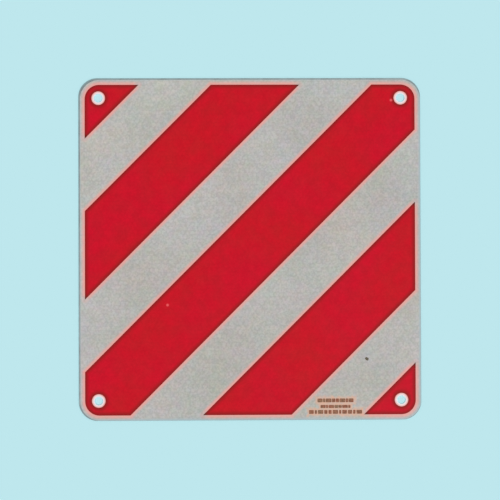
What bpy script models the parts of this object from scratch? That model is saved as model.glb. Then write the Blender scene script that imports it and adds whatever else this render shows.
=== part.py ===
"""Overhanging load sign: a square aluminium panel with rounded corners and a hole in each
corner, faced with retroreflective sheeting that carries diagonal red stripes.

The panel lies on its back, face up. Its origin is the centre of the back face, +Y is the
top of the sign and +X its right-hand side. Lengths are in metres."""

import math

import bmesh
import bpy
import numpy as np

SIGN_NAME = "overhanging_load_sign"

# Panel, one flat sheet of aluminium
PANEL_SIZE = 0.500
PANEL_THICKNESS = 0.0010
CORNER_RADIUS = 0.0275
EDGE_CHAMFER = 0.0002
HOLE_DIAMETER = 0.012
HOLE_EDGE_DISTANCE = 0.029  # from a hole's centre to each of the two nearest edges

# Retroreflective sheeting, bonded to the panel's front a little to the right and down
SHEETING_THICKNESS = 0.00035
SHEETING_SHIFT = 0.0009  # off the panel's middle, to the right and as much down
SHEETING_SETBACK = 0.0004  # bare metal beside the sheeting where it is narrowest
SHEETING_CORNER_RADIUS = 0.0285
SHEETING_HOLE_SETBACK = 0.0003  # bare metal around each hole

# Red ink, printed on the sheeting
INK_THICKNESS = 0.00005
PRINT_SHIFT_LEFT = 0.0004  # the printed area, off the sheeting's middle
WHITE_BORDER = 0.0073  # from the sheeting's edge to the printed area, before its shift
WHITE_RING = 0.0036  # from the sheeting's cut-out to the ink around each hole
RED_WIDTH = 0.0915  # across a red stripe
HOLE_TO_WHITE = 0.0198  # from the hole in a corner stripe to the white, before the shifts
STRIPES_EACH_SIDE = 2  # on either side of the stripe through the middle
STRIPES_SHIFT = 0.0010  # off the printed area's middle, across them, down and to the right
STRIPE_ANGLE = math.radians(45)  # stripes rise to the right

# Fineness of the round stretches
CORNER_STEPS = 16
HOLE_STEPS = 48
SMOOTH_BELOW = math.radians(30)
WELD_DISTANCE = 1e-6

# Heights of the faces that the layers share
PANEL_FRONT = PANEL_THICKNESS
SHEETING_FRONT = PANEL_FRONT + SHEETING_THICKNESS
INK_FRONT = SHEETING_FRONT + INK_THICKNESS

# Distances along X and Y from a layer's middle to its sides, and to the holes
PANEL_REACH = PANEL_SIZE / 2
HOLE_REACH = PANEL_REACH - HOLE_EDGE_DISTANCE
SHEETING_REACH = PANEL_REACH - SHEETING_SETBACK - SHEETING_SHIFT
PRINT_REACH = SHEETING_REACH - WHITE_BORDER

# Middle of the sheeting, and of the print on it
SHEETING_MIDDLE = np.array((SHEETING_SHIFT, -SHEETING_SHIFT))
PRINT_MIDDLE = SHEETING_MIDDLE - np.array((PRINT_SHIFT_LEFT, 0.0))


def clear_scene():
    for leftover in list(bpy.data.objects):
        bpy.data.objects.remove(leftover)


def new_collection(name):
    collection = bpy.data.collections.new(name)
    bpy.context.scene.collection.children.link(collection)
    return collection


def new_material(name, colour, roughness, metallic):
    material = bpy.data.materials.new(name)
    material.use_nodes = True
    shader = material.node_tree.nodes["Principled BSDF"]
    shader.inputs["Base Color"].default_value = (*colour, 1.0)
    shader.inputs["Roughness"].default_value = roughness
    shader.inputs["Metallic"].default_value = metallic
    return material


def arc(centre, radius, start, sweep, steps):
    """Points along an arc, both ends included."""
    angle = start + sweep * np.arange(steps + 1) / steps
    return np.asarray(centre) + radius * np.column_stack((np.cos(angle), np.sin(angle)))


def rounded_square(reach, radius):
    """A square about the origin with sides this far from it and rounded corners."""
    straight = reach - radius
    quarter = math.pi / 2
    corners = straight * np.array(((1, 1), (-1, 1), (-1, -1), (1, -1)))
    return np.concatenate(
        [
            arc(corner, radius, turn * quarter, quarter, CORNER_STEPS)
            for turn, corner in enumerate(corners)
        ]
    )


def holes(setback):
    """The four corner holes, widened by setback all round."""
    radius = HOLE_DIAMETER / 2 + setback
    return [
        arc((x, y), radius, 0.0, 2 * math.pi, HOLE_STEPS)[:-1]
        for x in (-HOLE_REACH, HOLE_REACH)
        for y in (-HOLE_REACH, HOLE_REACH)
    ]


def layer_mesh(name, outlines, back, front, chamfer=0.0):
    """A flat sheet between two heights, cut to its first outline, with the others as holes."""
    curve = bpy.data.curves.new(name, "CURVE")
    curve.dimensions = "2D"
    curve.fill_mode = "BOTH"
    curve.extrude = (front - back) / 2 - chamfer
    curve.bevel_depth = chamfer
    curve.bevel_resolution = 0
    curve.offset = -chamfer
    for outline in outlines:
        spline = curve.splines.new("POLY")
        spline.points.add(len(outline) - 1)
        flat = np.column_stack((outline, np.zeros(len(outline)), np.ones(len(outline))))
        spline.points.foreach_set("co", flat.ravel())
        spline.use_cyclic_u = True

    guide = bpy.data.objects.new(name + "_outline", curve)
    bpy.context.scene.collection.objects.link(guide)
    graph = bpy.context.evaluated_depsgraph_get()
    mesh = bpy.data.meshes.new_from_object(guide.evaluated_get(graph))
    mesh.name = name
    bpy.data.objects.remove(guide)

    work = bmesh.new()
    work.from_mesh(mesh)
    bmesh.ops.remove_doubles(work, verts=work.verts, dist=WELD_DISTANCE)
    work.to_mesh(mesh)
    work.free()

    # Both faces take their exact height, so that layers which touch share one plane
    points = np.empty(len(mesh.vertices) * 3, np.float32)
    mesh.vertices.foreach_get("co", points)
    height = points[2::3]
    highest = height.max()
    middle = (front + back) / 2
    points[2::3] = np.where(
        height == highest, front, np.where(height == -highest, back, height + middle)
    )
    mesh.vertices.foreach_set("co", points)
    mesh.shade_smooth()
    mesh.set_sharp_from_angle(angle=SMOOTH_BELOW)
    return mesh


def add_part(name, mesh, material, collection, root):
    part = bpy.data.objects.new(name, mesh)
    part.parent = root
    if not mesh.materials:
        mesh.materials.append(material)
    collection.objects.link(part)
    return part


def stripe_cutter(name, across, collection, root):
    """A long box over one red stripe, with its middle line this far across the print."""
    work = bmesh.new()
    bmesh.ops.create_cube(work, size=1.0)
    bmesh.ops.scale(work, vec=(2 * PANEL_SIZE, RED_WIDTH, PANEL_SIZE), verts=work.verts)
    mesh = bpy.data.meshes.new(name)
    work.to_mesh(mesh)
    work.free()

    cutter = bpy.data.objects.new(name, mesh)
    cutter.parent = root
    cutter.location.x = PRINT_MIDDLE[0] + across * math.sin(STRIPE_ANGLE)
    cutter.location.y = PRINT_MIDDLE[1] - across * math.cos(STRIPE_ANGLE)
    cutter.rotation_euler.z = STRIPE_ANGLE
    cutter.hide_render = True
    cutter.display_type = "WIRE"
    collection.objects.link(cutter)
    return cutter


def make_panel(collection, root):
    aluminium = new_material("aluminium", (0.62, 0.64, 0.65), 0.38, 1.0)
    outlines = [rounded_square(PANEL_REACH, CORNER_RADIUS), *holes(0.0)]
    mesh = layer_mesh("panel", outlines, 0.0, PANEL_FRONT, EDGE_CHAMFER)
    add_part("panel", mesh, aluminium, collection, root)


def make_sheeting(collection, root):
    silver_white = new_material("silver_white_sheeting", (0.46, 0.455, 0.43), 0.42, 0.0)
    outline = SHEETING_MIDDLE + rounded_square(SHEETING_REACH, SHEETING_CORNER_RADIUS)
    outlines = [outline, *holes(SHEETING_HOLE_SETBACK)]
    mesh = layer_mesh("reflective_sheeting", outlines, PANEL_FRONT, SHEETING_FRONT)
    add_part("reflective_sheeting", mesh, silver_white, collection, root)


def make_stripes(collection, cutters, root):
    """The red stripes, counted from the top left corner. One runs through the middle of
    the print, and the outermost on each side holds its corner's hole. The white between
    them is what is left over."""
    red = new_material("red_ink", (0.55, 0.011, 0.023), 0.35, 0.0)
    corner_radius = SHEETING_CORNER_RADIUS - WHITE_BORDER
    outline = PRINT_MIDDLE + rounded_square(PRINT_REACH, corner_radius)
    outlines = [outline, *holes(SHEETING_HOLE_SETBACK + WHITE_RING)]
    printed_area = layer_mesh("red_stripes", outlines, SHEETING_FRONT, INK_FRONT)

    # From the middle, across the stripes: to a corner hole, then to the near edge of the
    # stripe that it is in
    to_hole = HOLE_REACH * (abs(math.sin(STRIPE_ANGLE)) + abs(math.cos(STRIPE_ANGLE)))
    to_corner_stripe = to_hole - HOLE_DIAMETER / 2 - HOLE_TO_WHITE
    pitch = (to_corner_stripe + RED_WIDTH / 2) / STRIPES_EACH_SIDE

    places = range(-STRIPES_EACH_SIDE, STRIPES_EACH_SIDE + 1)
    for number, place in enumerate(places, start=1):
        name = f"red_stripe_{number}"
        stripe = add_part(name, printed_area, red, collection, root)
        crop = stripe.modifiers.new("crop_to_stripe", "BOOLEAN")
        crop.operation = "INTERSECT"
        across = place * pitch + STRIPES_SHIFT
        crop.object = stripe_cutter(f"{name}_cutter", across, cutters, root)


def main():
    clear_scene()
    collection = new_collection(SIGN_NAME)
    cutters = new_collection("stripe_cutters")
    root = bpy.data.objects.new(SIGN_NAME, None)
    collection.objects.link(root)
    make_panel(collection, root)
    make_sheeting(collection, root)
    make_stripes(collection, cutters, root)


main()
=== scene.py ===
"""Looks of an overhanging load sign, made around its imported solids.

The sign lies on a pale floor, face up, and the camera looks down on it. Lengths are in
metres, in the frame of the solids: +X is the sign's right-hand side, +Y its top and +Z
the way out of its printed face."""

import math
from collections import namedtuple

import bpy
import numpy as np
from bpy.props import FloatProperty, FloatVectorProperty, PointerProperty
from mathutils import Matrix, Vector


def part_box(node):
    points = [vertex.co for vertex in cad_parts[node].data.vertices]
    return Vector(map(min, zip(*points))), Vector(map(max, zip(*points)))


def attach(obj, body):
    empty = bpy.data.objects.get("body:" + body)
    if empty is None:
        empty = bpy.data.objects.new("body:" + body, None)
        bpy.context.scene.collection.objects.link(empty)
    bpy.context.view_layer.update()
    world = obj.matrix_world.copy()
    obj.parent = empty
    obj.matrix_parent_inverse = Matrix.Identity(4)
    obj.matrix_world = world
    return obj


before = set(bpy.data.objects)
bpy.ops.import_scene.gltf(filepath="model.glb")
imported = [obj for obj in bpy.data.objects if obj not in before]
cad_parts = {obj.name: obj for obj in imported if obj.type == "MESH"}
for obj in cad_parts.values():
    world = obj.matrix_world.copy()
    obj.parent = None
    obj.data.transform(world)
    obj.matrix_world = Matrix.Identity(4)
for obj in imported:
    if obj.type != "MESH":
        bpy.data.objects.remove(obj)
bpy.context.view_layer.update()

bl_info = {
    "name": "Overhanging Load Sign",
    "version": (1, 0, 0),
    "blender": (4, 5, 0),
    "location": "View3D > Sidebar > Load Sign",
    "description": "Finishes a square panel with diagonal stripes around its solids",
    "category": "Object",
}

# The sign has no joints, so every piece rides on its one body
BODY = "root"
STRIPES = sorted(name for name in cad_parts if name.startswith("red_stripe_"))


def middle_and_reach(name):
    """Middle of a node's box, and the distance from there to its right side."""
    low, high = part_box(name)
    middle = (low + high) / 2
    return Vector((middle.x, middle.y, 0.0)), high.x - middle.x


# Sizes that the solids give. All the stripes end at one rounded square, which the middle
# one spans from corner to corner. The sheeting lies a little off the panel's middle, and
# the square a little off the sheeting's.
_, PANEL_REACH = middle_and_reach("panel")
SHEETING_MIDDLE, SHEETING_REACH = middle_and_reach("reflective_sheeting")
PRINT_MIDDLE, PRINT_REACH = middle_and_reach("red_stripe_3")
PANEL_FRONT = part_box("panel")[1].z
SHEETING_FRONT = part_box("reflective_sheeting")[1].z

# From the print's middle, square to the stripes, to the near edge of each: the one in the
# top left corner, the next one, and the one past the middle stripe. The last two differ
# by twice the stripes' own shift, which is down and to the right
PRINT_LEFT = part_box("red_stripe_3")[0].x
PRINT_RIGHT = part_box("red_stripe_3")[1].x
TO_STRIPE_1 = (PRINT_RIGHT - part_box("red_stripe_1")[1].x) / math.sqrt(2)
TO_STRIPE_2 = (PRINT_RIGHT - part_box("red_stripe_2")[1].x) / math.sqrt(2)
TO_STRIPE_4 = (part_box("red_stripe_4")[0].x - PRINT_LEFT) / math.sqrt(2)
STRIPE_PITCH = TO_STRIPE_1 - TO_STRIPE_2
STRIPES_SHIFT = (TO_STRIPE_4 - TO_STRIPE_2) / 2
RED_WIDTH = 2 * STRIPE_PITCH - TO_STRIPE_2 - TO_STRIPE_4
COS_45 = math.sqrt(0.5)

# Sizes that repeat those of the solids' source
CORNER_RADIUS = 0.0275
SHEETING_CORNER_RADIUS = 0.0285
PRINT_CORNER_RADIUS = SHEETING_CORNER_RADIUS - (SHEETING_REACH - PRINT_REACH)
HOLE_EDGE_DISTANCE = 0.029
HOLE_REACH = PANEL_REACH - HOLE_EDGE_DISTANCE
HOLE_RADIUS = 0.0060
HOLE_TO_INK = 0.0039
PRINT_HOLE_RADIUS = HOLE_RADIUS + HOLE_TO_INK

# How far from a red field's sharp tip its ink and the tint beside it differ
TIP_REACH = 0.0100

# Rows of the small print, each of plain dashes with this gap between them
PrintRow = namedtuple("PrintRow", "left right middle_line height gap")
SMALL_PRINT = {
    "small_print_row_1": PrintRow(0.0980, 0.1507, -0.2216, height=0.0056, gap=0.0006),
    "small_print_row_2": PrintRow(0.1024, 0.1463, -0.2305, height=0.0045, gap=0.0005),
    "small_print_row_3": PrintRow(0.0855, 0.1632, -0.2384, height=0.0057, gap=0.0014),
}

# Marks on the face: a speck of dirt, and pinholes in the ink
SPECK_MIDDLE = Vector((0.1705, -0.1611, 0.0))
PINHOLES = (Vector((-0.1205, -0.0815, 0.0)), Vector((0.2074, 0.2176, 0.0)))
PINHOLE_RADIUS = 0.0018
PINHOLE_COLOUR = (0.90, 0.14, 0.15)

# Stage: the floor's size and place, and how the camera stands over the sign
FLOOR_REACH = 20.0
FLOOR_DROP = 0.0002
CAMERA_TARGET = Vector((0.00012, -0.00147, 0.0))
CAMERA_TURN_X = math.radians(0.453)
CAMERA_TURN_Y = math.radians(-0.667)
CAMERA_TURN_Z = math.radians(-0.177)
SENSOR_WIDTH = 36.0
IMAGE_SIZE = 500
FOCAL_LENGTH_PX = 1093.7

# Values between which a noise mostly lies, and a wider pair that it seldom leaves
NOISE_RANGE = (0.25, 0.75)
WIDE_NOISE_RANGE = (0.2, 0.8)


def length(name, description, default, smallest):
    return FloatProperty(
        name=name, description=description, unit="LENGTH", default=default, min=smallest
    )


def colour(name, description, default):
    return FloatVectorProperty(
        name=name,
        description=description,
        subtype="COLOR",
        default=default,
        min=0.0,
        max=1.0,
    )


def share(name, description, default):
    return FloatProperty(
        name=name,
        description=description,
        subtype="FACTOR",
        default=default,
        min=0.0,
        max=1.0,
    )


def angle(name, description, degrees, smallest):
    return FloatProperty(
        name=name,
        description=description,
        subtype="ANGLE",
        unit="ROTATION",
        default=math.radians(degrees),
        min=math.radians(smallest),
        max=math.radians(90),
    )


class MetalSettings(bpy.types.PropertyGroup):
    """Finish of the aluminium panel."""

    metal: colour("Metal", "Colour of the bare aluminium", (0.62, 0.64, 0.65))
    # The rim colour is painted shade: a dark colour put on the bare metal beside the
    # sheeting, over this width
    rim_shade: colour("Rim", "Colour of the dull metal beside the sheeting", (0.31, 0.28, 0.27))
    rim_width: length("Rim Width", "Width of the dull band", 0.0030, 0.0001)
    burnish: colour("Burnish", "Colour of the bright metal round a hole", (0.95, 0.93, 0.93))
    burnish_width: length("Burnish Width", "Width of the bright metal", 0.0008, 0.0001)
    grain_length: length("Grain Length", "Length of the rolling marks", 0.030, 0.001)
    grain_width: length("Grain Width", "Width of the rolling marks", 0.0004, 0.00005)
    scratches: share("Scratches", "How much the handling scratches show", 0.5)


class SheetingSettings(bpy.types.PropertyGroup):
    """Finish of the silver-white retroreflective sheeting."""

    silver: colour("Silver White", "Colour of the sheeting by day", (0.419, 0.445, 0.444))
    # The edge colour is a painted reflection of the pale room, put on the sheeting near the
    # panel's edge
    edge: colour("Edge", "Colour where it bends at the panel's edge", (0.39, 0.48, 0.51))
    ring: colour("Ring", "Colour of the bare ring round a hole", (0.86, 0.75, 0.78))
    cell_pitch: length("Cell Pitch", "Distance between two cells' middles", 0.0070, 0.001)
    seam_width: length("Seam Width", "Width of the lines between cells", 0.0012, 0.0001)
    seam_depth: length("Seam Depth", "Depth of the lines between cells", 0.00003, 0.0)
    bead_size: length("Bead Size", "Size of the grain that the beads give", 0.0026, 0.0002)


class InkSettings(bpy.types.PropertyGroup):
    """Finish of the red ink and of the sheeting right beside it."""

    red: colour("Red", "Colour of the red fields", (0.572, 0.0070, 0.0193))
    lip: colour("Lip", "Colour of the thick ink along an edge", (0.275, 0.013, 0.0135))
    lip_width: length("Lip Width", "Width of the thick ink along an edge", 0.0076, 0.0001)
    tip: colour("Tip", "Colour of the thick ink in a sharp tip", (0.085, 0.025, 0.015))
    bleed: colour("Bleed", "Colour of the sheeting right beside ink", (0.83, 0.36, 0.32))
    bleed_width: length("Bleed Width", "Width of the tint beside the ink", 0.0067, 0.0001)


class SmallPrintSettings(bpy.types.PropertyGroup):
    """Rows of plain dashes where such a panel carries its small print."""

    brown: colour("Brown", "Colour of the dashes", (0.24, 0.100, 0.057))
    halo: colour("Halo", "Colour of the sheeting round the dashes", (0.71, 0.415, 0.29))
    halo_width: length("Halo Width", "Width of the halo round a row", 0.0055, 0.0001)
    dash_length: length("Dash Length", "Mean length of a dash", 0.0058, 0.0005)
    thickness: length("Thickness", "Thickness of the dashes", 0.00003, 0.000005)


class SpeckSettings(bpy.types.PropertyGroup):
    """The speck of dirt on the sheeting."""

    brown: colour("Brown", "Colour of the dirt", (0.125, 0.109, 0.078))
    speck_width: length("Width", "Width of the speck", 0.0048, 0.0002)
    speck_length: length("Length", "Length of the speck", 0.0052, 0.0002)
    speck_height: length("Height", "Height of the speck", 0.0003, 0.00005)


class StageSettings(bpy.types.PropertyGroup):
    """Floor, light and camera."""

    floor: colour("Floor", "Colour of the floor and the room", (0.515, 0.799, 0.847))
    key_share: share("Key Share", "Share of the floor's light that the key gives", 0.40)
    key_elevation: angle("Key Elevation", "Height of the key over the horizon", 60, 10)
    key_width: angle("Key Width", "Width of the key as the sign sees it", 14, 0)
    camera_distance: length("Camera Distance", "From camera to the sign", 1.60, 0.5)


class Graph:
    """Adds shader nodes to a material, one call a node, and links what it is given. A
    call takes sockets or plain numbers and gives back the new node's result."""

    def __init__(self, tree):
        self.tree = tree

    def node(self, kind, inputs=(), **settings):
        made = self.tree.nodes.new(kind)
        for name, value in settings.items():
            setattr(made, name, value)
        for name, value in dict(inputs).items():
            self.feed(made.inputs[name], value)
        return made

    def feed(self, socket, value):
        if isinstance(value, bpy.types.NodeSocket):
            self.tree.links.new(value, socket)
        else:
            socket.default_value = value

    def math(self, operation, *values):
        made = self.node("ShaderNodeMath", enumerate(values), operation=operation)
        return made.outputs["Value"]

    def product(self, first, *others):
        for other in others:
            first = self.math("MULTIPLY", first, other)
        return first

    def vector(self, operation, *values):
        made = self.node("ShaderNodeVectorMath", operation=operation)
        for socket, value in zip(made.inputs, values):
            self.feed(socket, value)
        return made.outputs["Value" if operation == "LENGTH" else "Vector"]

    def split(self, vector):
        made = self.node("ShaderNodeSeparateXYZ", {"Vector": vector})
        return made.outputs["X"], made.outputs["Y"], made.outputs["Z"]

    def position(self):
        return self.node("ShaderNodeTexCoord").outputs["Object"]

    def flat(self, position, middle):
        """The position from this middle, with no height."""
        level = self.vector("MULTIPLY", position, (1, 1, 0))
        return self.vector("SUBTRACT", level, middle)

    def noise(self, position, feature, detail=2.0, stretch=(1.0, 1.0, 1.0)):
        """Noise from 0 to 1, with features of about this size in metres."""
        scale = [1.0 / (feature * along) for along in stretch]
        scaled = self.vector("MULTIPLY", position, scale)
        inputs = {"Vector": scaled, "Scale": 1.0, "Detail": detail}
        made = self.node("ShaderNodeTexNoise", inputs)
        return made.outputs["Fac"]

    def fade(self, value, start, end, low=0.0, high=1.0):
        """low up to start, high from end on, and a smooth step between."""
        inputs = {
            "Value": value,
            "From Min": start,
            "From Max": end,
            "To Min": low,
            "To Max": high,
        }
        made = self.node(
            "ShaderNodeMapRange", inputs, interpolation_type="SMOOTHSTEP", clamp=True
        )
        return made.outputs["Result"]

    def clouds(self, position, feature, low, high, detail=2.0):
        """Noise that runs from low to high."""
        return self.fade(self.noise(position, feature, detail), *NOISE_RANGE, low, high)

    def uneven(self, position, feature, change, detail=2.0):
        """Noise that runs from 1 - change to 1 + change."""
        return self.clouds(position, feature, 1 - change, 1 + change, detail)

    def mix(self, factor, first, second, blend_type="MIX"):
        """Two colours mixed. A Mix node's sockets share names, so they go by number."""
        made = self.node("ShaderNodeMix", data_type="RGBA", blend_type=blend_type)
        self.feed(made.inputs[0], factor)
        self.feed(made.inputs[6], first)
        self.feed(made.inputs[7], second)
        return made.outputs[2]

    def choose(self, condition, if_true, if_false):
        """The first vector where the condition is 1, and the second where it is 0."""
        made = self.node("ShaderNodeMix", data_type="VECTOR")
        self.feed(made.inputs[0], condition)
        self.feed(made.inputs[4], if_false)
        self.feed(made.inputs[5], if_true)
        return made.outputs[1]

    def shade(self, plain, brightness):
        """The colour times a brightness that may vary over the surface."""
        grey = self.node("ShaderNodeCombineColor")
        for socket in grey.inputs:
            self.feed(socket, brightness)
        return self.mix(1.0, plain, grey.outputs["Color"], "MULTIPLY")

    def bump(self, height):
        inputs = {"Height": height, "Distance": 1.0, "Strength": 1.0}
        return self.node("ShaderNodeBump", inputs).outputs["Normal"]


def rgba(plain, tint=(1.0, 1.0, 1.0)):
    """A colour times a tint, with the opacity that a colour socket also takes."""
    return (*(channel * by for channel, by in zip(plain, tint)), 1.0)


def new_material(name):
    """A new material, the graph to build it with, and its shader."""
    material = bpy.data.materials.new(name)
    material.use_nodes = True
    return material, Graph(material.node_tree), material.node_tree.nodes["Principled BSDF"]


def assign(piece, material):
    piece.data.materials.clear()
    piece.data.materials.append(material)


def rounded_square_edge(graph, local, reach, radius):
    """Distance to the outline of a rounded square about the origin, negative inside."""
    straight = reach - radius
    x, y, _ = graph.split(graph.vector("ABSOLUTE", local))
    past_x = graph.math("SUBTRACT", x, straight)
    past_y = graph.math("SUBTRACT", y, straight)
    outside_x = graph.math("MAXIMUM", past_x, 0.0)
    outside_y = graph.math("MAXIMUM", past_y, 0.0)
    square = graph.math("MULTIPLY", outside_x, outside_x)
    squares = graph.math("MULTIPLY_ADD", outside_y, outside_y, square)
    outside = graph.math("SQRT", squares)
    inside = graph.math("MINIMUM", graph.math("MAXIMUM", past_x, past_y), 0.0)
    return graph.math("SUBTRACT", graph.math("ADD", outside, inside), radius)


def to_hole(graph, position):
    """Distance to the middle of the nearest corner hole."""
    flat = graph.flat(graph.vector("ABSOLUTE", position), (HOLE_REACH, HOLE_REACH, 0.0))
    return graph.vector("LENGTH", flat)


def ink_edge(graph, position):
    """Distance to the nearest edge of a red field, negative inside one, and how near a
    field's sharp tip is, from 0 to 1. The distance is the largest of two: to the gap
    round each hole, and to a stripe that ends at the rounded square.

    With a and b the distances to a stripe's straight edge and to the square's side, that
    is the larger of a and b, except past a corner of the stripe, where it is the distance
    to that corner, the square root of 2 (a a + b b - 2 a b c). There c is the cosine of
    the angle between the two outward directions: plus the square root of a half where the
    corner is blunt, and minus that where it is sharp."""
    local = graph.flat(position, PRINT_MIDDLE)
    x, y, _ = graph.split(local)
    across = graph.math("MULTIPLY", graph.math("SUBTRACT", y, x), COS_45)
    shifted = graph.math("ADD", across, STRIPES_SHIFT)
    from_middle_line = graph.math("WRAP", shifted, STRIPE_PITCH / 2, -STRIPE_PITCH / 2)
    to_middle_line = graph.math("ABSOLUTE", from_middle_line)
    a = graph.math("SUBTRACT", to_middle_line, RED_WIDTH / 2)
    b = rounded_square_edge(graph, local, PRINT_REACH, PRINT_CORNER_RADIUS)

    sides = graph.math("SIGN", graph.math("MULTIPLY", across, from_middle_line))
    cosine = graph.math("MULTIPLY", sides, COS_45)
    past_a = graph.math("GREATER_THAN", a, graph.math("MULTIPLY", b, cosine))
    past_b = graph.math("GREATER_THAN", b, graph.math("MULTIPLY", a, cosine))
    squares = graph.math("MULTIPLY_ADD", a, a, graph.math("MULTIPLY", b, b))
    twice = graph.product(-2.0, a, b, cosine)
    doubled = graph.math("MULTIPLY", graph.math("ADD", squares, twice), 2.0)
    to_corner = graph.math("SQRT", doubled)
    larger = graph.math("MAXIMUM", a, b)
    more = graph.math("SUBTRACT", to_corner, larger)
    stripe = graph.math("MULTIPLY_ADD", more, graph.product(past_a, past_b), larger)
    gap = graph.math("SUBTRACT", PRINT_HOLE_RADIUS, to_hole(graph, position))

    near_corner = graph.fade(to_corner, 0.0, TIP_REACH, 1.0, 0.0)
    near_tip = graph.math("MULTIPLY", near_corner, graph.math("LESS_THAN", cosine, 0.0))
    return graph.math("MAXIMUM", stripe, gap), near_tip


def small_print_edge(graph, position):
    """Distance to the nearest row of small print, negative inside one."""
    nearest = None
    for row in SMALL_PRINT.values():
        middle = ((row.left + row.right) / 2, row.middle_line, 0.0)
        half = ((row.right - row.left) / 2, row.height / 2, 0.0)
        offset = graph.vector("ABSOLUTE", graph.flat(position, middle))
        x, y, _ = graph.split(graph.vector("SUBTRACT", offset, half))
        edge = graph.math("MAXIMUM", x, y)
        nearest = edge if nearest is None else graph.math("MINIMUM", nearest, edge)
    return nearest


def honeycomb(graph, position, pitch):
    """Distance to the nearest side of a six-sided cell, and the middle of that cell.
    The middles lie on two like grids, one half a step from the other, so the nearest
    middle is the nearer of the two that wrapping the position round each grid gives."""
    half = (pitch / 2, pitch * math.sqrt(3) / 2, 0.0)
    minus_half = tuple(-size for size in half)
    flat = graph.flat(position, (0.0, 0.0, 0.0))
    first = graph.vector("WRAP", flat, half, minus_half)
    second = graph.vector("WRAP", graph.vector("SUBTRACT", flat, half), half, minus_half)
    to_first = graph.vector("LENGTH", first)
    to_second = graph.vector("LENGTH", second)
    first_nearer = graph.math("LESS_THAN", to_first, to_second)
    offset = graph.choose(first_nearer, first, second)
    x, y, _ = graph.split(graph.vector("ABSOLUTE", offset))
    half_x = graph.math("MULTIPLY", x, 0.5)
    slanted = graph.math("MULTIPLY_ADD", y, math.sqrt(0.75), half_x)
    to_side = graph.math("SUBTRACT", pitch / 2, graph.math("MAXIMUM", x, slanted))
    return to_side, graph.vector("SUBTRACT", flat, offset)


def cells(graph, position, settings, strength):
    """How bright the sealed cells and their glass beads look from above, around 1, and
    how far a point lies in a seam between cells, from 0 to 1. Each cell has a tone of its
    own, the beads give a grain, and a seam is darker than the cells."""
    tone_size = 0.004
    own_tone = 0.025 * strength
    grain = 0.072 * strength
    seam_darker = 0.06 * strength
    cell_lighter = 0.015 * strength

    to_side, cell_middle = honeycomb(graph, position, settings.cell_pitch)
    seam = graph.fade(to_side, 0.0, settings.seam_width, 1.0, 0.0)
    tone = graph.uneven(cell_middle, tone_size, own_tone, detail=0.0)
    beads = graph.uneven(position, settings.bead_size, grain, detail=0.0)
    lines = graph.math("MULTIPLY_ADD", seam, -seam_darker, 1 + cell_lighter)
    return graph.product(tone, beads, lines), seam


def sheet_waves(graph, position):
    """Height of the slow waves that a thin panel has, a few hundredths of a millimetre."""
    wave_length = 0.085
    wave_height = 0.00012

    waves = graph.noise(position, wave_length, detail=1.0)
    return graph.math("MULTIPLY", waves, wave_height)


def handling_scratches(graph, position, strength):
    """Fine scratches in patches, from 0 to 1. In each of three directions they lie where
    a noise that is stretched that way passes its middle value."""
    turns = (0.6, -0.9, 1.9)
    spacing = 0.004
    stretch = (40.0, 1.0, 1.0)
    line_width = 0.006
    patch_size = 0.045
    patch_starts = 0.5
    patch_full = 0.62

    patch_noise = graph.noise(position, patch_size, detail=1.0)
    patches = graph.fade(patch_noise, patch_starts, patch_full)
    scratches = 0.0
    for turn in turns:
        turned = graph.node(
            "ShaderNodeVectorRotate",
            {"Vector": position, "Angle": turn},
            rotation_type="Z_AXIS",
        )
        lines = graph.noise(turned.outputs["Vector"], spacing, 0.0, stretch)
        from_line = graph.math("ABSOLUTE", graph.math("SUBTRACT", lines, 0.5))
        line = graph.fade(from_line, 0.0, line_width, strength, 0.0)
        scratches = graph.math("MAXIMUM", scratches, graph.math("MULTIPLY", line, patches))
    return scratches


def painted_rim_shade(graph, position, settings):
    """How much painted shade lies on the front of the metal beside the sheeting, from 0 to
    1, and the dark colour of that painted shade on the rim, darkest round the corners."""
    under_sheeting = 0.001
    far_side = 0.8
    patch_size = 0.012
    palest_patch = 0.8
    corner_fade = 0.012
    corner_shade_tint = (0.74, 0.75, 0.76)

    local = graph.flat(position, SHEETING_MIDDLE)
    past_sheeting = rounded_square_edge(
        graph, local, SHEETING_REACH, SHEETING_CORNER_RADIUS
    )
    x, y, height = graph.split(graph.vector("ABSOLUTE", position))
    dull = graph.product(
        graph.math("GREATER_THAN", past_sheeting, -under_sheeting),
        graph.fade(past_sheeting, 0.0, settings.rim_width, 1.0, far_side),
        graph.clouds(position, patch_size, palest_patch, 1.0),
        graph.fade(height, PANEL_FRONT / 2, PANEL_FRONT),
    )
    # Painted shade: the rim is painted darker still round the panel's corners
    start = PANEL_REACH - CORNER_RADIUS
    in_corner = graph.fade(graph.math("MINIMUM", x, y), start, start + corner_fade)
    corner_shade = rgba(settings.rim_shade, corner_shade_tint)
    return dull, graph.mix(in_corner, rgba(settings.rim_shade), corner_shade)


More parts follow.
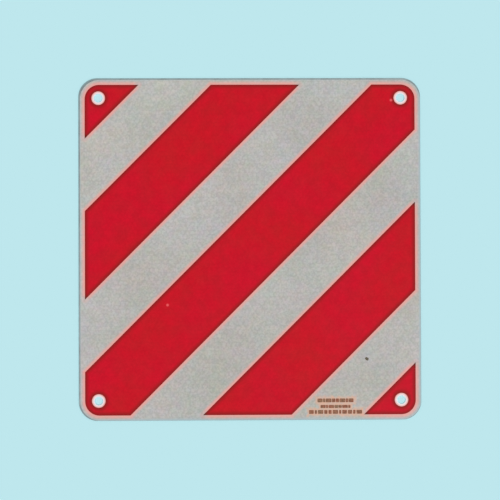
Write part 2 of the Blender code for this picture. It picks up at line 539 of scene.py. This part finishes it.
def aluminium(settings):
    """Mill finish sheet: rolling marks along X, faint clouds, fine handling scratches, a
    rougher rim with painted shade where the sheeting stops, and bright metal where the holes
    were punched."""
    cloud_size = 0.030
    scratch_colour = (0.9, 0.9, 0.9)
    scratch_share = 0.35
    scratch_depth = 0.00001
    grain_height = 0.000015
    rim_rougher = 0.25

    material, graph, shader = new_material("mill_finish_aluminium")
    position = graph.position()
    along = settings.grain_length / settings.grain_width
    grain = graph.noise(position, settings.grain_width, 4.0, (along, 1.0, along))
    clouds = graph.noise(position, cloud_size, 3.0)
    brightness = graph.product(
        graph.fade(grain, *WIDE_NOISE_RANGE, 0.90, 1.06),
        graph.fade(clouds, *WIDE_NOISE_RANGE, 0.95, 1.04),
    )
    plain = graph.shade(rgba(settings.metal), brightness)
    scratches = handling_scratches(graph, position, settings.scratches)
    showing = graph.math("MULTIPLY", scratches, scratch_share)
    plain = graph.mix(showing, plain, rgba(scratch_colour))
    # Painted shade: the bare metal beside the sheeting is painted dark, darkest round the
    # corners, and is also made rougher
    dull, rim_shade = painted_rim_shade(graph, position, settings)
    plain = graph.mix(dull, plain, rim_shade)
    past_hole = graph.math("SUBTRACT", to_hole(graph, position), HOLE_RADIUS)
    bright = graph.fade(past_hole, 0.0, settings.burnish_width, 1.0, 0.0)
    plain = graph.mix(bright, plain, rgba(settings.burnish))
    graph.feed(shader.inputs["Base Color"], plain)

    rough = graph.fade(clouds, *WIDE_NOISE_RANGE, 0.33, 0.45)
    rough = graph.math("MULTIPLY_ADD", dull, rim_rougher, rough)
    graph.feed(shader.inputs["Roughness"], rough)
    shader.inputs["Metallic"].default_value = 1.0
    waves = sheet_waves(graph, position)
    marks = graph.math("MULTIPLY_ADD", scratches, -scratch_depth, waves)
    height = graph.math("MULTIPLY_ADD", grain, grain_height, marks)
    graph.feed(shader.inputs["Normal"], graph.bump(height))
    return material


def mottled(graph, position, plain):
    """The colour with faint patches of pink and green, and of warm and cool, from the
    size of a cell up to a hand's width. Each kind and size of patch reads its noise at a
    place of its own."""
    pink = (1.055, 0.980, 1.005)
    warm = (1.000, 1.006, 0.940)
    for patch_size, shift in ((0.007, 0.0), (0.020, 0.3), (0.100, 0.6)):
        place = graph.vector("ADD", position, (shift, shift, 0.0))
        other_place = graph.vector("ADD", place, (0.0, 1.0, 0.0))
        for tint, where in ((pink, place), (warm, other_place)):
            patches = graph.clouds(where, patch_size, 0.0, 1.0, detail=1.0)
            plain = graph.mix(patches, plain, rgba(tint), "MULTIPLY")
    return plain


def painted_light_outside(graph, local, plain):
    """The colour with painted light: a little brighter and cooler towards the top left and
    the edges. The first of these goes by how much further up than to the right a point lies."""
    painted_light_tint = (1.045, 1.075, 1.085)
    slope_starts = -0.25
    slope_ends = 0.42
    share_at_top_left = 0.7
    edge_fade = 0.060
    share_at_edges = 0.4

    x, y, _ = graph.split(local)
    up_and_left = graph.math("SUBTRACT", y, x)
    outline = rounded_square_edge(graph, local, SHEETING_REACH, SHEETING_CORNER_RADIUS)
    painted_light_share = graph.math(
        "ADD",
        graph.fade(up_and_left, slope_starts, slope_ends, 0.0, share_at_top_left),
        graph.fade(outline, -edge_fade, 0.0, 0.0, share_at_edges),
    )
    return graph.mix(painted_light_share, plain, rgba(painted_light_tint), "MULTIPLY")


def painted_edge_reflection(graph, position):
    """How much painted reflection of the pale room lies on the sheeting near the panel's own
    edge, from 0 to 1.
    """
    starts = -0.0045
    ends = -0.0008
    most = 0.85

    flat = graph.flat(position, (0.0, 0.0, 0.0))
    to_panel_edge = rounded_square_edge(graph, flat, PANEL_REACH, CORNER_RADIUS)
    return graph.fade(to_panel_edge, starts, ends, 0.0, most)


def print_halo(graph, position, settings):
    """How much of the halo's colour lies round the small print, from 0 to 1, with a
    ragged border."""
    notch_size = 0.0045
    notch_depth = 0.0014
    patch_size = 0.0055
    palest_patch = 0.6

    from_print = graph.math(
        "ADD",
        small_print_edge(graph, position),
        graph.clouds(position, notch_size, -notch_depth, notch_depth, detail=1.0),
    )
    return graph.math(
        "MULTIPLY",
        graph.fade(from_print, 0.0, settings.halo_width, 1.0, 0.0),
        graph.clouds(position, patch_size, palest_patch, 1.0, detail=1.0),
    )


def ink_tint(graph, position, in_ring, settings):
    """How much of the ink's tint lies on the sheeting beside it. It is narrower in the
    ring round a hole than elsewhere, and faint round a sharp tip."""
    lost_at_tip = 0.75
    width_in_ring = 0.45 * settings.bleed_width
    patch_size = 0.005

    edge, near_tip = ink_edge(graph, position)
    elsewhere = graph.product(
        graph.fade(edge, 0.0, settings.bleed_width, 1.0, 0.0),
        graph.math("MULTIPLY_ADD", near_tip, -lost_at_tip, 1.0),
        graph.math("SUBTRACT", 1.0, in_ring),
    )
    inside_ring = graph.fade(edge, 0.0, width_in_ring, 1.0, 0.0)
    return graph.product(
        graph.math("MULTIPLY_ADD", inside_ring, in_ring, elsewhere),
        graph.clouds(position, patch_size, 0.80, 1.10, detail=1.0),
    )


def sheeting(settings, ink, small_print):
    """Silver-white sheeting: six-sided cells of glass beads under a clear glossy film,
    with sealed lines between them, a tint beside the ink and a bare ring round each
    hole. Near the panel's own edge it has a painted reflection of the pale room."""
    small_patch = 0.014
    small_change = 0.02
    wide_patch = 0.110
    wide_change = 0.04
    ring_fade = 0.0005

    material, graph, shader = new_material("retroreflective_sheeting")
    position = graph.position()
    pattern, seam = cells(graph, position, settings, 1.0)
    brightness = graph.product(
        pattern,
        graph.uneven(position, small_patch, small_change, detail=1.0),
        graph.uneven(position, wide_patch, wide_change, detail=0.0),
    )
    plain = graph.shade(mottled(graph, position, rgba(settings.silver)), brightness)
    # Painted light: the sheeting is painted brighter and cooler towards the top left and the
    # edges
    plain = painted_light_outside(graph, graph.flat(position, SHEETING_MIDDLE), plain)
    # Painted reflection: near the panel's edge the sheeting is painted towards the pale
    # room's blue
    plain = graph.mix(painted_edge_reflection(graph, position), plain, rgba(settings.edge))
    halo = print_halo(graph, position, small_print)
    plain = graph.mix(halo, plain, rgba(small_print.halo))
    ring_end = PRINT_HOLE_RADIUS + ring_fade
    in_ring = graph.fade(to_hole(graph, position), PRINT_HOLE_RADIUS, ring_end, 1.0, 0.0)
    plain = graph.mix(in_ring, plain, rgba(settings.ring))
    tint = ink_tint(graph, position, in_ring, ink)
    plain = graph.mix(tint, plain, rgba(ink.bleed))
    graph.feed(shader.inputs["Base Color"], plain)

    shader.inputs["Roughness"].default_value = 0.40
    shader.inputs["Specular IOR Level"].default_value = 0.18
    shader.inputs["Coat Weight"].default_value = 0.35
    shader.inputs["Coat Roughness"].default_value = 0.15
    waves = sheet_waves(graph, position)
    height = graph.math("MULTIPLY_ADD", seam, -settings.seam_depth, waves)
    graph.feed(shader.inputs["Normal"], graph.bump(height))
    return material


def red_ink(settings, film):
    """Transparent red screen ink: the sheeting's cells show through it faintly, it is
    darker where it piles up along an edge, darkest in a sharp tip, and it misses a
    pinhole here and there."""
    showing_through = 0.50
    blotch_size = 0.018
    deep_tint = (1.02, 0.83, 1.0)
    dull_tint = (0.95, 1.20, 1.0)
    crimson_size = 0.100
    scarlet_tint = (0.980, 1.20, 0.88)
    crimson_tint = (1.015, 0.85, 1.12)
    patch_size = 0.014
    patch_change = 0.04
    pinhole_share = 0.75
    lip_height = 0.00001
    peel_size = 0.0015
    peel_height = 0.000004
    seam_share = 0.3

    material, graph, shader = new_material("red_screen_ink")
    position = graph.position()
    through, seam = cells(graph, position, film, showing_through)
    deep = rgba(settings.red, deep_tint)
    dull = rgba(settings.red, dull_tint)
    blotches = graph.clouds(position, blotch_size, 0.0, 1.0, detail=0.0)
    blotched = graph.mix(blotches, deep, dull)
    crimson = graph.clouds(position, crimson_size, 0.0, 1.0, detail=0.0)
    tint = graph.mix(crimson, rgba(scarlet_tint), rgba(crimson_tint))
    tinted = graph.mix(1.0, blotched, tint, "MULTIPLY")
    thickness = graph.uneven(position, patch_size, patch_change)
    plain = graph.shade(tinted, graph.math("MULTIPLY", through, thickness))

    edge, near_tip = ink_edge(graph, position)
    depth = graph.math("MULTIPLY", edge, -1.0)
    lip = graph.fade(depth, 0.0, settings.lip_width, 1.0, 0.0)
    printed = graph.mix(lip, plain, rgba(settings.lip))
    printed = graph.mix(near_tip, printed, rgba(settings.tip))
    pinhole_start = PINHOLE_RADIUS * 0.4
    pinhole_end = PINHOLE_RADIUS * 1.6
    for middle in PINHOLES:
        away = graph.vector("LENGTH", graph.flat(position, middle))
        pinhole = graph.fade(away, pinhole_start, pinhole_end, pinhole_share, 0.0)
        printed = graph.mix(pinhole, printed, rgba(PINHOLE_COLOUR))
    graph.feed(shader.inputs["Base Color"], printed)

    shader.inputs["Roughness"].default_value = 0.30
    shader.inputs["Specular IOR Level"].default_value = 0.06
    ridge = graph.math("MULTIPLY_ADD", lip, lip_height, sheet_waves(graph, position))
    peel = graph.noise(position, peel_size)
    peeled = graph.math("MULTIPLY_ADD", peel, peel_height, ridge)
    height = graph.math("MULTIPLY_ADD", seam, -seam_share * film.seam_depth, peeled)
    graph.feed(shader.inputs["Normal"], graph.bump(height))
    return material


def small_print_ink(settings):
    """Brown ink, thin in places, that runs between reddish and greyish."""
    patch_size = 0.011
    reddish_tint = (1.08, 0.86, 0.86)
    greyish_tint = (0.86, 1.18, 1.20)
    thin_spot_size = 0.0022

    material, graph, shader = new_material("small_print_ink")
    position = graph.position()
    reddish = rgba(settings.brown, reddish_tint)
    greyish = rgba(settings.brown, greyish_tint)
    towards_grey = graph.clouds(position, patch_size, 0.0, 1.0, detail=1.0)
    plain = graph.mix(towards_grey, reddish, greyish)
    brightness = graph.clouds(position, thin_spot_size, 0.75, 1.45)
    graph.feed(shader.inputs["Base Color"], graph.shade(plain, brightness))
    shader.inputs["Roughness"].default_value = 0.45
    shader.inputs["Specular IOR Level"].default_value = 0.15
    return material


def dirt(settings):
    """Dry, crumbly dirt."""
    grain_size = 0.0004
    grain_height = 0.00008

    material, graph, shader = new_material("dry_dirt")
    grains = graph.noise(graph.position(), grain_size, 3.0)
    brightness = graph.fade(grains, *WIDE_NOISE_RANGE, 0.6, 1.5)
    graph.feed(shader.inputs["Base Color"], graph.shade(rgba(settings.brown), brightness))
    shader.inputs["Roughness"].default_value = 0.9
    shader.inputs["Specular IOR Level"].default_value = 0.1
    height = graph.math("MULTIPLY", grains, grain_height)
    graph.feed(shader.inputs["Normal"], graph.bump(height))
    return material


def floor_material(plain):
    material = bpy.data.materials.new("pale_floor")
    material.use_nodes = True
    tree = material.node_tree
    tree.nodes.clear()
    graph = Graph(tree)
    diffuse = graph.node("ShaderNodeBsdfDiffuse", {"Color": rgba(plain)})
    output = graph.node("ShaderNodeOutputMaterial")
    tree.links.new(diffuse.outputs["BSDF"], output.inputs["Surface"])
    return material


def lofted_mesh(name, rings):
    """A closed mesh over rings of points, the first one lowest, with its own cap at both
    ends. rings has the shape (solids, rings, points of a ring, 3), and rings run
    anticlockwise seen from above."""
    solids, levels, around, _ = rings.shape
    solid = np.arange(solids)[:, None, None] * levels * around
    level = np.arange(levels - 1)[None, :, None] * around
    point = np.arange(around)[None, None, :]
    following = (point + 1) % around
    low = solid + level + point
    low_next = solid + level + following
    walls = np.stack((low, low_next, low_next + around, low + around), axis=-1)
    bottoms = (solid + point)[:, 0, ::-1]
    tops = (solid + (levels - 1) * around + point)[:, 0, :]
    faces = walls.reshape(-1, 4).tolist() + bottoms.tolist() + tops.tolist()
    mesh = bpy.data.meshes.new(name)
    mesh.from_pydata(rings.reshape(-1, 3), [], faces)
    mesh.update()
    return mesh


def add_piece(mesh, material):
    """A new piece that rides on the sign, with its place in its mesh."""
    piece = bpy.data.objects.new(mesh.name, mesh)
    bpy.context.scene.collection.objects.link(piece)
    assign(piece, material)
    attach(piece, BODY)


def dash_row(name, settings):
    """A row of flat dashes with round corners, the k-th of them 1 + 0.45 cos(2.4 k + 1)
    times as long as the rest on average. With a the angle about a dash, r the radius of
    its corners, and s and t the signs of a's cosine and sine, its outline is
    x = s (half its length - r) + r cos a and y = t (half its height - r) + r sin a. It
    rises from the sheeting to most of its thickness, and then to its full thickness over
    a slightly smaller outline."""
    points = 24
    corner_share = 0.3
    edge_inset = 0.00008
    wall_share = 0.6

    row = SMALL_PRINT[name]
    width = row.right - row.left
    count = round((width + row.gap) / (settings.dash_length + row.gap))
    shares = 1 + 0.45 * np.cos(2.4 * np.arange(count) + 1)
    dashes_together = width - (count - 1) * row.gap
    lengths = dashes_together * shares / shares.sum()
    middles = row.left + np.cumsum(lengths + row.gap) - row.gap - lengths / 2

    radius = corner_share * min(row.height, lengths.min())
    angle_about = 2 * math.pi * (np.arange(points) + 0.5) / points
    inset = np.array((0.0, 0.0, edge_inset))[None, :, None]
    rise = np.array((0.0, wall_share, 1.0))[None, :, None] * settings.thickness
    side = np.sign(np.cos(angle_about))
    end = np.sign(np.sin(angle_about))
    corner_x = middles[:, None, None] + side * (lengths[:, None, None] / 2 - radius)
    corner_y = row.middle_line + end * (row.height / 2 - radius)
    x = corner_x + (radius - inset) * np.cos(angle_about)
    y = corner_y + (radius - inset) * np.sin(angle_about)
    x, y, z = np.broadcast_arrays(x, y, SHEETING_FRONT + rise)
    return lofted_mesh(name, np.stack((x, y, z), axis=-1))


def speck_mesh(settings):
    """A low dome with a ragged outline. With a the angle about it and u from 0 at the rim
    to nearly 1 on top, its radius is (1 + 0.18 cos(2a + 1) + 0.10 sin 5a)(1 - u squared)
    of half its width or length, and its height is u (2 - u) of the full one."""
    points = 40
    levels = 9
    top = 0.92

    angle_about = 2 * math.pi * np.arange(points) / points
    up = np.linspace(0.0, top, levels)[:, None]
    ragged = 1 + 0.18 * np.cos(2 * angle_about + 1) + 0.10 * np.sin(5 * angle_about)
    radius = ragged * (1 - up**2)
    x = SPECK_MIDDLE.x + settings.speck_width / 2 * radius * np.cos(angle_about)
    y = SPECK_MIDDLE.y + settings.speck_length / 2 * radius * np.sin(angle_about)
    z = SHEETING_FRONT + settings.speck_height * up * (2 - up)
    x, y, z = np.broadcast_arrays(x, y, z)
    mesh = lofted_mesh("dirt_speck", np.stack((x, y, z), axis=-1)[None])
    mesh.shade_smooth()
    return mesh


class LOADSIGN_OT_panel(bpy.types.Operator):
    """Give the aluminium panel its mill finish"""

    bl_idname = "loadsign.panel"
    bl_label = "Finish Panel"

    def execute(self, context):
        assign(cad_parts["panel"], aluminium(context.scene.loadsign_metal))
        return {"FINISHED"}


class LOADSIGN_OT_sheeting(bpy.types.Operator):
    """Give the sheeting its cells and its gloss"""

    bl_idname = "loadsign.sheeting"
    bl_label = "Finish Sheeting"

    def execute(self, context):
        scene = context.scene
        material = sheeting(
            scene.loadsign_sheeting, scene.loadsign_ink, scene.loadsign_small_print
        )
        assign(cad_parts["reflective_sheeting"], material)
        return {"FINISHED"}


class LOADSIGN_OT_stripes(bpy.types.Operator):
    """Give the red stripes their ink"""

    bl_idname = "loadsign.stripes"
    bl_label = "Finish Stripes"

    def execute(self, context):
        scene = context.scene
        material = red_ink(scene.loadsign_ink, scene.loadsign_sheeting)
        for name in STRIPES:
            assign(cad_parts[name], material)
        return {"FINISHED"}


class LOADSIGN_OT_small_print(bpy.types.Operator):
    """Print plain dashes in place of the small print"""

    bl_idname = "loadsign.small_print"
    bl_label = "Add Small Print"

    def execute(self, context):
        settings = context.scene.loadsign_small_print
        material = small_print_ink(settings)
        for name in SMALL_PRINT:
            add_piece(dash_row(name, settings), material)
        return {"FINISHED"}


class LOADSIGN_OT_speck(bpy.types.Operator):
    """Add the speck of dirt"""

    bl_idname = "loadsign.speck"
    bl_label = "Add Speck"

    def execute(self, context):
        settings = context.scene.loadsign_speck
        add_piece(speck_mesh(settings), dirt(settings))
        return {"FINISHED"}


class LOADSIGN_OT_stage(bpy.types.Operator):
    """Set the floor, the light and the camera"""

    bl_idname = "loadsign.stage"
    bl_label = "Set Stage"

    def execute(self, context):
        scene = context.scene
        settings = scene.loadsign_stage
        add_floor(scene, settings)
        add_light(scene, settings)
        add_camera(scene, settings)
        scene.view_settings.view_transform = "Standard"
        return {"FINISHED"}


def add_floor(scene, settings):
    points = FLOOR_REACH * np.array([[-1, -1, 0], [1, -1, 0], [1, 1, 0], [-1, 1, 0]], float)
    points[:, 2] = -FLOOR_DROP
    mesh = bpy.data.meshes.new("floor")
    mesh.from_pydata(points, [], [(0, 1, 2, 3)])
    floor = bpy.data.objects.new("floor", mesh)
    scene.collection.objects.link(floor)
    assign(floor, floor_material(settings.floor))


def add_light(scene, settings):
    """The key lamp stands to the lower right, and the room gives the rest. Together they
    light the floor so that a colour looks as it is written."""
    lamp = bpy.data.lights.new("key", "SUN")
    lamp.angle = settings.key_width
    lamp.energy = math.pi * settings.key_share / math.sin(settings.key_elevation)
    key = bpy.data.objects.new("key", lamp)
    level = math.cos(settings.key_elevation) / math.sqrt(2)
    towards_key = Vector((level, -level, math.sin(settings.key_elevation)))
    key.rotation_euler = towards_key.to_track_quat("Z", "Y").to_euler()
    scene.collection.objects.link(key)

    world = bpy.data.worlds.new("room")
    world.use_nodes = True
    world.node_tree.nodes.clear()
    graph = Graph(world.node_tree)
    path = graph.node("ShaderNodeLightPath").outputs
    seen = graph.math("MAXIMUM", path["Is Camera Ray"], path["Is Glossy Ray"])
    seen = graph.math("MAXIMUM", seen, path["Is Transmission Ray"])
    fill = 1.0 - settings.key_share
    room = graph.mix(seen, (fill, fill, fill, 1.0), rgba(settings.floor))
    background = graph.node("ShaderNodeBackground", {"Color": room, "Strength": 1.0})
    output = graph.node("ShaderNodeOutputWorld")
    world.node_tree.links.new(background.outputs["Background"], output.inputs["Surface"])
    scene.world = world


def add_camera(scene, settings):
    data = bpy.data.cameras.new("camera")
    data.sensor_width = SENSOR_WIDTH
    data.lens = FOCAL_LENGTH_PX / IMAGE_SIZE * SENSOR_WIDTH
    camera = bpy.data.objects.new("camera", data)
    turn = (
        Matrix.Rotation(CAMERA_TURN_X, 3, "X")
        @ Matrix.Rotation(CAMERA_TURN_Y, 3, "Y")
        @ Matrix.Rotation(CAMERA_TURN_Z, 3, "Z")
    )
    camera.location = CAMERA_TARGET + turn @ Vector((0, 0, settings.camera_distance))
    camera.rotation_euler = turn.to_euler()
    scene.collection.objects.link(camera)
    scene.camera = camera


class LOADSIGN_PT_sidebar(bpy.types.Panel):
    """Lists the steps that make the sign."""

    bl_label = "Load Sign"
    bl_idname = "LOADSIGN_PT_sidebar"
    bl_space_type = "VIEW_3D"
    bl_region_type = "UI"
    bl_category = "Load Sign"

    def draw(self, context):
        for operator, settings in STEPS:
            box = self.layout.box()
            box.operator(operator.bl_idname)
            group = getattr(context.scene, settings)
            for name in group.bl_rna.properties.keys():
                if name not in {"rna_type", "name"}:
                    box.prop(group, name)


SETTINGS = {
    "loadsign_metal": MetalSettings,
    "loadsign_sheeting": SheetingSettings,
    "loadsign_ink": InkSettings,
    "loadsign_small_print": SmallPrintSettings,
    "loadsign_speck": SpeckSettings,
    "loadsign_stage": StageSettings,
}
STEPS = [
    (LOADSIGN_OT_panel, "loadsign_metal"),
    (LOADSIGN_OT_sheeting, "loadsign_sheeting"),
    (LOADSIGN_OT_stripes, "loadsign_ink"),
    (LOADSIGN_OT_small_print, "loadsign_small_print"),
    (LOADSIGN_OT_speck, "loadsign_speck"),
    (LOADSIGN_OT_stage, "loadsign_stage"),
]
CLASSES = [*SETTINGS.values(), *(operator for operator, _ in STEPS), LOADSIGN_PT_sidebar]


def register():
    for cls in CLASSES:
        bpy.utils.register_class(cls)
    for name, group in SETTINGS.items():
        setattr(bpy.types.Scene, name, PointerProperty(type=group))


def unregister():
    for name in SETTINGS:
        delattr(bpy.types.Scene, name)
    for cls in reversed(CLASSES):
        bpy.utils.unregister_class(cls)


def main():
    register()
    bpy.ops.loadsign.panel()
    bpy.ops.loadsign.sheeting()
    bpy.ops.loadsign.stripes()
    bpy.ops.loadsign.small_print()
    bpy.ops.loadsign.speck()
    bpy.ops.loadsign.stage()


if __name__ == "__main__":
    main()
